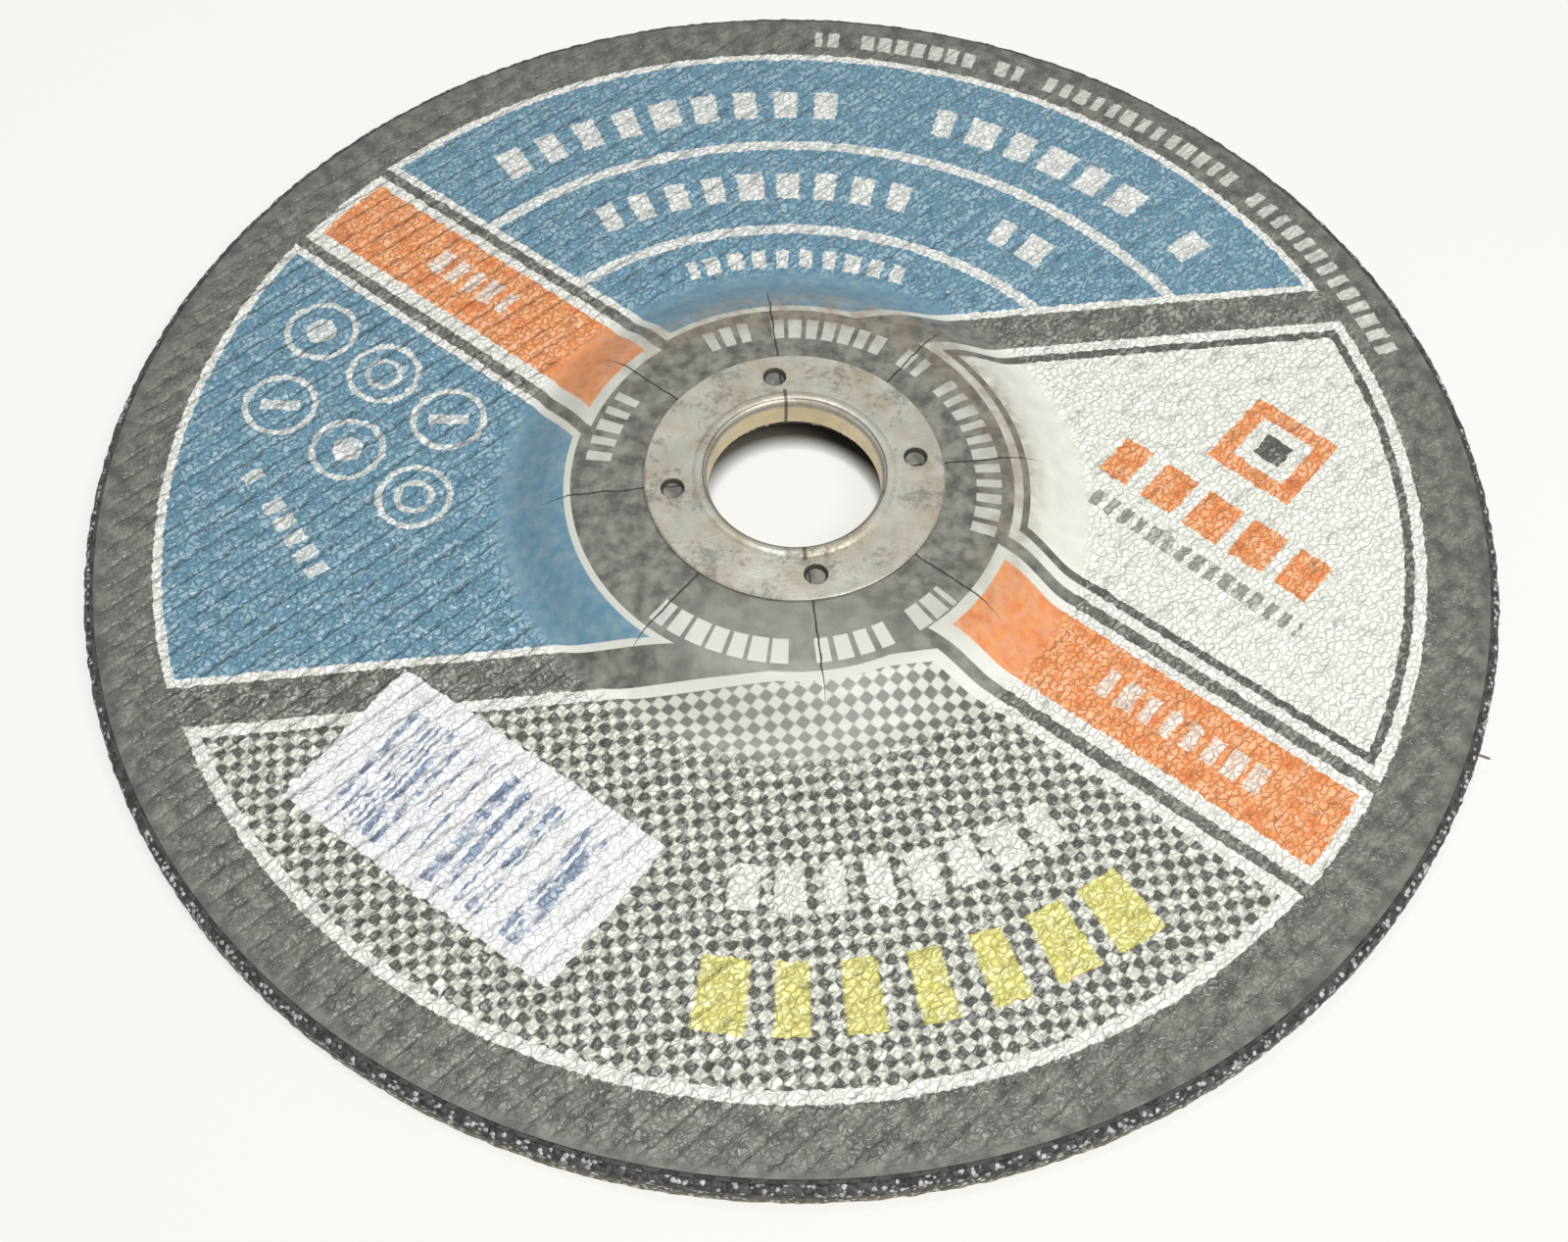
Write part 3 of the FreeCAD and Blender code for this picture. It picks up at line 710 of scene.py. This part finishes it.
    share = 360.0 / SLIT_COUNT
    angle = paint.arctangent(paint.y, paint.x)
    turn = ((angle - (math.degrees(SLIT_ANGLE) - share / 2.0 - 360.0)) * (1.0 / share)).fraction()
    sway = (cloud - 0.5) * 0.5
    off_slit = abs((turn - 0.5) * (share * TURN / 360.0) * true_radius + sway)
    slit_width = ((33.0 - true_radius) * 0.02).least(0.11)
    slit = (off_slit - slit_width).below(0.0, 0.12) * true_radius.below(32.5, 1.0)
    colour = paint.mix(slit, colour, colours["slit"])

    # The surface: grooves beside the threads, pebbles of two sizes, and a calm film at the hub.
    u, v = paint.along_threads()
    thread = abs((v * (1.0 / THREAD_PITCH) + (bend_u - 0.5) * 0.22 + (cloud - 0.5) * 0.25).fraction() - 0.5)
    groove = (1.0 - thread * 6.0).most(0.0)
    # Lines beside the grooves that carry a painted highlight further down.
    painted_ridge_highlight = abs(thread - 0.22).below(0.07, 0.08)
    spot = paint.vector(u * 0.0008 + bend_u * 0.0010, v * 0.0011 + bend_v * 0.0010, 0.0)
    large = paint.cells(520.0, position=spot, space="2D")
    small = paint.cells(1150.0, "DISTANCE_TO_EDGE", position=spot, space="2D")
    groove = groove * (0.65 - paint.x * 0.007 + band * 0.5).least(1.0).most(0.25)
    pebbles = large * large * 0.55 + (1.0 - (small * 5.0).least(1.0)) * 0.11 + groove * (0.22 + 0.3 * blot)
    height = (film * 0.12 - pebbles) * (0.03 + raised * 0.97)
    normal = paint.bump(height, 0.7 * MM, 1.0)

    # Painted highlights on the pebbles' crowns and beside the grooves, and painted shade in the creases
    # between them.
    printed = 0.25 + 0.75 * radius.below(81.0, 1.0)
    crown = small.above(0.24, 0.14).most(painted_ridge_highlight * speck.above(0.5, 0.2)) * raised
    colour = paint.mix(crown * (0.3 + 0.9 * speck), colour, colours["crown"], "DODGE")
    colour = paint.mix(crown * printed * speck.above(0.5, 0.15) * 0.22, colour, colours["white"])
    # Painted shade in the creases and cell edges between the pebbles, in the slit colour.
    painted_crease_edges = small.below(0.05, 0.06) * speck.above(0.4, 0.2) * (1.0 - 0.8 * band)
    painted_crease_shade = (large * 0.5 + groove * 0.3).above(0.45, 0.3).most(painted_crease_edges) * raised
    colour = paint.mix(painted_crease_shade * (0.15 + 0.2 * printed), colour, colours["slit"])
    gloss = 0.3 + 0.14 * blot + 0.1 * speck + slit * 0.5 - raised * 0.16
    return paint.finish(Base_Color=colour, Roughness=gloss, Normal=normal)


def grain_paint(colours):
    """Abrasive grains in dark resin: black with painted glints on some facets, browner low on the rim."""
    paint = Paint("abrasive_grain")
    shade, flash, turn = paint.channels(paint.cells(GRAIN_SCALE, output="Color"))
    grains = paint.cells(GRAIN_SCALE)
    rough, tint, fine = paint.channels(paint.noise(1400.0, 3.0, output="Color"))
    colour = paint.mix(shade * shade, colours["grain_black"], colours["grain_grey"])
    outer = (paint.x * paint.x + paint.y * paint.y).root().above(87.0, 3.0)
    low = (paint.z + (rough - 0.5) * 2.4).below(1.8, 1.0) * (0.25 + 0.75 * outer)
    brown = paint.mix(tint, colours["brown"], colours["olive"])
    colour = paint.mix(low * (0.45 + 0.4 * turn), colour, brown)
    # Painted glints on some grains' facets.
    glint = flash.above(0.6, 0.04) * (fine - grains).above(0.02, 0.12)
    colour = paint.mix(glint * (0.4 + 0.6 * shade), colour, colours["glint"])
    normal = paint.bump(fine * 0.5 - grains, 0.35 * MM, 0.9)
    roughness = 0.6 - glint * 0.4 + (rough - 0.5) * 0.3
    return paint.finish(Base_Color=colour, Roughness=roughness, Normal=normal)


def cloth_paint(colours):
    """Glass cloth soaked with dark resin, the threads crossing at right angles."""
    paint = Paint("glass_cloth")
    u, v = paint.along_threads()
    warp = (u * (TURN / THREAD_PITCH)).sine()
    weft = (v * (TURN / WEFT_PITCH)).sine()
    thread = warp.most(weft).above(0.3, 0.5)
    colour = paint.mix(thread, colours["grain_black"], colours["cloth"])
    normal = paint.bump(thread + paint.noise(2400.0, 3.0), 0.2 * MM, 0.6)
    return paint.finish(Base_Color=colour, Roughness=0.5 + 0.2 * paint.noise(700.0), Normal=normal)


def steel_paint(colours):
    """Pressed steel: beige stains, fine turning lines, a painted highlight on the flange's edge, painted
    shade in the pierced anchors and round the top of the bore, and two dark ticks.
    """
    paint = Paint("stained_steel")
    radius = (paint.x * paint.x + paint.y * paint.y).root()
    angle = paint.arctangent(paint.y, paint.x)
    mottle, bare, spots = paint.channels(paint.noise(200.0, 5.0, 0.65, output="Color"))
    stain = mottle.above(0.52, 0.3)
    colour = paint.mix(stain * 0.7, colours["steel"], colours["steel_beige"])
    colour = paint.mix(bare.above(0.55, 0.25) * 0.35, colour, colours["steel_bare"])
    dark_spots = (spots + (paint.noise(1300.0, 3.0, 0.7) - 0.5) * 0.6).above(0.6, 0.14)
    colour = paint.mix(dark_spots * 0.45, colour, colours["steel_dark"])
    # Painted shade inside the pierced anchors.
    pit = paint.z.below(9.7, 0.1) * radius.between(14.0, 17.4, 0.3)
    colour = paint.mix(pit * 0.9, colour, colours["pit"])
    # A painted highlight along the flange's outer edge.
    edge = radius.above(19.1, 0.3) * paint.z.above(9.4, 0.2)
    colour = paint.mix(edge * 0.5, colour, colours["steel_bare"])
    below = paint.z.below(8.9, 0.4)
    colour = paint.mix(below * 0.7, colour, colours["tube"])
    tick = abs((angle - 97.0) / 180.0)
    tick = abs((tick + 0.5).fraction() - 0.5).below(0.006, 0.004) * radius.below(13.4, 0.2)
    colour = paint.mix(tick * 0.8, colour, colours["steel_dark"])
    # A painted dark line of shade round the top of the bore.
    groove = abs(radius - 11.65).below(0.09, 0.1) * paint.z.above(9.6, 0.1)
    colour = paint.mix(groove * 0.7, colour, colours["steel_dark"])
    scratch = paint.noise(1.0, 3.0, 0.6, paint.vector(radius * 9.0, angle * 0.03, paint.z * 4.0))
    normal = paint.bump(scratch * 0.35 + paint.noise(1800.0, 3.0) * 0.5, 0.12 * MM, 0.6)
    roughness = 0.34 + stain * 0.18 + dark_spots * 0.1 + (scratch - 0.5) * 0.2
    metal = 0.95 - stain * 0.3 - dark_spots * 0.2 - pit * 0.6
    return paint.finish(Base_Color=colour, Metallic=metal, Roughness=roughness, Normal=normal)


def fibre_paint(colours):
    """Loose glass fibre, dull and dusty."""
    paint = Paint("loose_fibre")
    colour = paint.mix(paint.noise(3000.0, 2.0), colours["brown"], colours["cloth"])
    return paint.finish(Base_Color=colour, Roughness=0.4 + 0.3 * paint.noise(2000.0))


# Settings that a user would change.


def length_setting(name, description, millimetres):
    """A length, given in millimetres."""
    value = millimetres * MM
    return FloatProperty(name=name, description=description, default=value, unit="LENGTH", precision=6)


def angle_setting(name, description, degrees):
    """An angle, given in degrees."""
    value = math.radians(degrees)
    return FloatProperty(name=name, description=description, default=value, subtype="ANGLE")


def value_setting(name, description, value):
    """A plain number."""
    return FloatProperty(name=name, description=description, default=value)


def count_setting(name, description, value):
    """A whole number."""
    return IntProperty(name=name, description=description, default=value)


def colour_setting(name, description, *levels):
    """A colour, given in levels from 0 to 255."""
    limits = {"size": 4, "min": 0.0, "max": 1.0, "subtype": "COLOR"}
    return FloatVectorProperty(name=name, description=description, default=ink(*levels), **limits)


class DiscSizes(bpy.types.PropertyGroup):
    """Sizes of the surfaces that are built around the solids."""

    relief_height: length_setting("Relief height", "How far the cloth lifts the paper", 0.19)
    relief_pitch: length_setting("Relief pitch", "Distance between two threads of the cloth", THREAD_PITCH)
    grain_height: length_setting("Grain height", "How far grains stand out of the rim", 0.15)
    label_steps: count_setting("Label steps", "Divisions of the paper round the disc", 720)
    body_steps: count_setting("Body steps", "Divisions of the body round the disc", 1400)


class DiscColours(bpy.types.PropertyGroup):
    """Colours of paper, grain, cloth and steel."""

    dark: colour_setting("Dark band", "Ground colour of the print", 80, 81, 76)
    dark_worn: colour_setting("Worn dark band", "Ground colour where it is rubbed", 118, 119, 111)
    grey_mark: colour_setting("Grey mark", "Plain marks on the dark ground", 222, 222, 216)
    white: colour_setting("White line", "Lines round the fields", 242, 242, 235)
    # Also the colour of the painted glare on the near slope.
    white_worn: colour_setting("Worn line", "Lines where they are rubbed", 214, 214, 204)
    blue: colour_setting("Blue", "Blue fields", 122, 160, 176)
    blue_deep: colour_setting("Deep blue", "Blue fields where they are darker", 92, 136, 160)
    orange: colour_setting("Orange", "Orange strips", 214, 116, 58)
    orange_pale: colour_setting("Pale orange", "Orange strips where they are rubbed", 232, 150, 90)
    silver: colour_setting("Silver", "Silver field", 240, 241, 231)
    silver_dull: colour_setting("Dull silver", "Silver field where it is dull", 222, 224, 213)
    check_dark: colour_setting("Dark check", "Dark squares", 86, 87, 82)
    check_light: colour_setting("Light check", "Light squares", 212, 214, 202)
    yellow: colour_setting("Yellow", "Plain yellow blocks", 222, 216, 118)
    panel: colour_setting("Panel", "White panel", 248, 249, 250)
    panel_blue: colour_setting("Panel bars", "Bars on the white panel", 84, 112, 150)
    # Brown mixed in round the far side of the hub.
    stain: colour_setting("Stain", "Brown dirt round the hub", 124, 108, 84)
    # Strength of the painted highlights on the pebbles' crowns.
    crown: colour_setting("Crown", "How much the pebbles' crowns are brightened", 164, 164, 160)
    # Also the colour of the painted shade in the creases between the pebbles.
    slit: colour_setting("Slit", "Gaps in the paper", 40, 38, 34)
    grain_black: colour_setting("Black grain", "Darkest grains", 26, 26, 28)
    grain_grey: colour_setting("Grey grain", "Lighter grains", 92, 90, 88)
    # Colour of the painted glints on the grains.
    glint: colour_setting("Glint", "Bright facets", 208, 208, 206)
    brown: colour_setting("Brown resin", "Lower side of the rim", 136, 120, 92)
    olive: colour_setting("Olive resin", "Lower side of the rim, greener", 118, 112, 84)
    cloth: colour_setting("Cloth", "Resin soaked glass threads", 62, 60, 55)
    steel: colour_setting("Steel", "Dull steel", 172, 171, 163)
    # Rubbed bare patches, and the painted highlight on the flange's edge.
    steel_bare: colour_setting("Bare steel", "Patches and edges that are rubbed bright", 214, 213, 204)
    steel_beige: colour_setting("Stained steel", "Beige stains", 150, 136, 108)
    # Dark spots and ticks, and the painted shade line round the top of the bore.
    steel_dark: colour_setting("Dark steel", "Spots, groove and ticks", 66, 61, 54)
    # Painted shade inside the pierced anchors.
    pit: colour_setting("Pit", "Inside of the pierced anchors", 40, 37, 34)
    tube: colour_setting("Tube", "Inside of the bore", 224, 204, 160)
    floor: colour_setting("Floor", "Pale floor", 250, 250, 246)
    # Colour of the painted shadow on the floor under the hub.
    shaded_floor: colour_setting("Floor under the hub", "Floor in the dark under the dish", 70, 54, 38)


class DiscView(bpy.types.PropertyGroup):
    """The camera, as it stood, and the lamps."""

    distance: length_setting("Distance", "From the disc's centre to the lens", 267.134)
    elevation: angle_setting("Elevation", "Angle above the floor", 54.983)
    pan: angle_setting("Pan", "Turn about the view's upright", 0.181)
    tilt: angle_setting("Tilt", "Turn about the view's level", -2.926)
    roll: angle_setting("Roll", "Turn about the line of sight", -1.636)
    lens: value_setting("Lens", "Focal length for a 36 mm sensor, in millimetres", 46.93)
    key: value_setting("Key lamp", "Power of the soft lamp at the right, in watts", 2.3)
    spark: value_setting("Spark lamp", "Power of the small lamp overhead, in watts", 0.9)
    sky: value_setting("Sky", "Strength of the light from all round", 0.25)


def settings():
    """The colours by name, with the sizes and the view."""
    scene = bpy.context.scene
    colours = {name: tuple(getattr(scene.disc_colours, name)) for name in DiscColours.__annotations__}
    return scene.disc_sizes, colours, scene.disc_view


def coat(piece, material):
    """Give a piece one material."""
    piece.data.materials.clear()
    piece.data.materials.append(material)


# Operators, one for each piece.


class DISC_OT_printed_label(bpy.types.Operator):
    """Build the printed paper with the relief of the cloth under it"""

    bl_idname = "disc.printed_label"
    bl_label = "Printed Label"

    def execute(self, context):
        sizes, colours, _ = settings()
        points = label_points(sizes.label_steps, sizes.relief_height, sizes.relief_pitch)
        piece = ring_surface("printed_label", points)
        coat(piece, label_paint(colours))
        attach(piece, "root")
        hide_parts("paper_label")
        return {"FINISHED"}


class DISC_OT_grain_body(bpy.types.Operator):
    """Build the abrasive body with grains on its rim and underside"""

    bl_idname = "disc.grain_body"
    bl_label = "Abrasive Body"

    def execute(self, context):
        sizes, colours, _ = settings()
        piece = ring_surface("grain_body", body_points(sizes.body_steps, sizes.grain_height))
        coat(piece, grain_paint(colours))
        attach(piece, "root")
        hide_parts("abrasive_body")
        return {"FINISHED"}


class DISC_OT_ring_and_cloth(bpy.types.Operator):
    """Give the steel ring and the glass cloth their finishes"""

    bl_idname = "disc.ring_and_cloth"
    bl_label = "Ring and Cloth"

    def execute(self, context):
        _, colours, _ = settings()
        coat(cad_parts["bore_ring"], steel_paint(colours))
        coat(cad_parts["glass_cloth"], cloth_paint(colours))
        return {"FINISHED"}


class DISC_OT_stray_fibre(bpy.types.Operator):
    """Build the loose end of a glass thread that stands out of the rim"""

    bl_idname = "disc.stray_fibre"
    bl_label = "Stray Fibre"

    def execute(self, context):
        _, colours, _ = settings()
        angle = math.radians(-22.4)
        out = np.linspace(89.2, 91.6, 12)[:, None] * MM * np.array([[math.cos(angle), math.sin(angle), 0.0]])
        sag = np.linspace(0.0, 1.0, 12) ** 2
        out[:, 2] = 3.2 * MM - 0.5 * MM * sag
        out[:, 1] += 0.4 * MM * sag
        piece = tube_surface("stray_fibre", out, 0.16 * MM, 8)
        coat(piece, fibre_paint(colours))
        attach(piece, "root")
        return {"FINISHED"}


class DISC_OT_stage(bpy.types.Operator):
    """Lay the pale floor and set the lamps, the sky and the camera"""

    bl_idname = "disc.stage"
    bl_label = "Stage"

    def execute(self, context):
        _, colours, view = settings()
        self.floor(colours)
        self.sky(view)
        self.lamp("key_lamp", KEY_PLACE, KEY_SIDE, view.key)
        self.lamp("spark_lamp", SPARK_PLACE, SPARK_SIDE, view.spark)
        self.camera(view)
        context.scene.view_settings.view_transform = "Standard"
        return {"FINISHED"}

    def floor(self, colours):
        """A pale floor that glows where it is seen, and carries a painted brown shadow under the hub."""
        side, z = FLOOR_SIDE, -FLOOR_DROP
        corners = np.array([[-side, -side, z], [side, -side, z], [side, side, z], [-side, side, z]])
        piece = skin("floor", corners, np.array([[0, 1, 2, 3]]))
        paint = Paint("pale_floor")
        dimmer = (*(0.99 * level for level in colours["floor"][:3]), 1.0)
        shade = paint.mix(paint.noise(3.0, 2.0), colours["floor"], dimmer)
        away = (paint.x * paint.x + paint.y * paint.y).root()
        # A painted shadow on the floor under the hub, where the glow is left out.
        under = away.above(12.2, 2.6) * away.below(20.0, 6.0)
        shade = paint.mix(under * 0.9, shade, colours["shaded_floor"])
        matt = {"Roughness": 1.0, "Specular IOR Level": 0.0}
        lit = paint.node("ShaderNodeBsdfPrincipled", {}, {"Base Color": shade, **matt})
        black = (0.0, 0.0, 0.0, 1.0)
        bright = {"Base Color": black, "Emission Color": shade, "Emission Strength": 1.0, **matt}
        glow = paint.node("ShaderNodeBsdfPrincipled", {}, bright)
        share = paint.seen() * (FLOOR_GLOW - FLOOR_GLOW * under)
        both = paint.node("ShaderNodeMixShader", {}, {0: share, 1: lit, 2: glow})
        paint.make("ShaderNodeOutputMaterial", {}, {"Surface": both})
        coat(piece, paint.material)

    def sky(self, view):
        """A white sky at full strength where it is seen, and weaker as light."""
        world = bpy.data.worlds.new("studio")
        nodes = NodeTree(world)
        strength = nodes.seen() * (1.0 - view.sky) + view.sky
        values = {"Color": (1.0, 1.0, 0.985, 1.0), "Strength": strength}
        light = nodes.node("ShaderNodeBackground", {}, values)
        nodes.make("ShaderNodeOutputWorld", {}, {"Surface": light})
        bpy.context.scene.world = world

    def lamp(self, name, place, side, power):
        """A square lamp that faces the disc's middle."""
        data = bpy.data.lights.new(name, "AREA")
        data.shape = "RECTANGLE"
        data.size, data.size_y = side, side
        data.energy = power
        lamp = bpy.data.objects.new(name, data)
        lamp.location = place
        lamp.rotation_euler = (-Vector(place)).to_track_quat("-Z", "Y").to_euler()
        bpy.context.scene.collection.objects.link(lamp)

    def camera(self, view):
        """The camera: on the near side at its elevation, then panned, tilted and rolled."""
        place = Vector((0.0, -math.cos(view.elevation), math.sin(view.elevation))) * view.distance
        forward, right = -place.normalized(), Vector((1.0, 0.0, 0.0))
        up = right.cross(forward)
        turn = Matrix.Rotation(view.pan, 3, up) @ Matrix.Rotation(view.tilt, 3, right)
        forward, right, up = turn @ forward, turn @ right, turn @ up
        turn = Matrix.Rotation(view.roll, 3, forward)
        right, up = turn @ right, turn @ up
        data = bpy.data.cameras.new("camera")
        data.sensor_width, data.sensor_fit = 36.0, "HORIZONTAL"
        data.lens, data.clip_start, data.clip_end = view.lens, 0.005, 20.0
        camera = bpy.data.objects.new("camera", data)
        camera.matrix_world = Matrix.Translation(place) @ Matrix((right, up, -forward)).transposed().to_4x4()
        bpy.context.scene.collection.objects.link(camera)
        bpy.context.scene.camera = camera


class DISC_PT_sidebar(bpy.types.Panel):
    """The disc's pieces and settings in the sidebar"""

    bl_label = "Grinding Disc"
    bl_idname = "DISC_PT_sidebar"
    bl_space_type = "VIEW_3D"
    bl_region_type = "UI"
    bl_category = "Grinding Disc"

    def draw(self, context):
        """A button for each piece, and every setting."""
        for step in STEPS:
            self.layout.operator(step.bl_idname)
        for group in (context.scene.disc_sizes, context.scene.disc_colours, context.scene.disc_view):
            box = self.layout.box()
            for name in type(group).__annotations__:
                box.prop(group, name)


STEPS = (
    DISC_OT_stage,
    DISC_OT_grain_body,
    DISC_OT_printed_label,
    DISC_OT_ring_and_cloth,
    DISC_OT_stray_fibre,
)
GROUPS = {"disc_sizes": DiscSizes, "disc_colours": DiscColours, "disc_view": DiscView}


def register():
    """Add the settings, the operators and the panel."""
    for group in GROUPS.values():
        bpy.utils.register_class(group)
    for step in (*STEPS, DISC_PT_sidebar):
        bpy.utils.register_class(step)
    for name, group in GROUPS.items():
        setattr(bpy.types.Scene, name, PointerProperty(type=group))


def unregister():
    """Take away what register added, in the opposite order."""
    for name in GROUPS:
        delattr(bpy.types.Scene, name)
    for step in (DISC_PT_sidebar, *reversed(STEPS)):
        bpy.utils.unregister_class(step)
    for group in reversed(GROUPS.values()):
        bpy.utils.unregister_class(group)


def main():
    """Run every operator."""
    register()
    for step in STEPS:
        group, name = step.bl_idname.split(".")
        getattr(getattr(bpy.ops, group), name)()


if __name__ == "__main__":
    main()
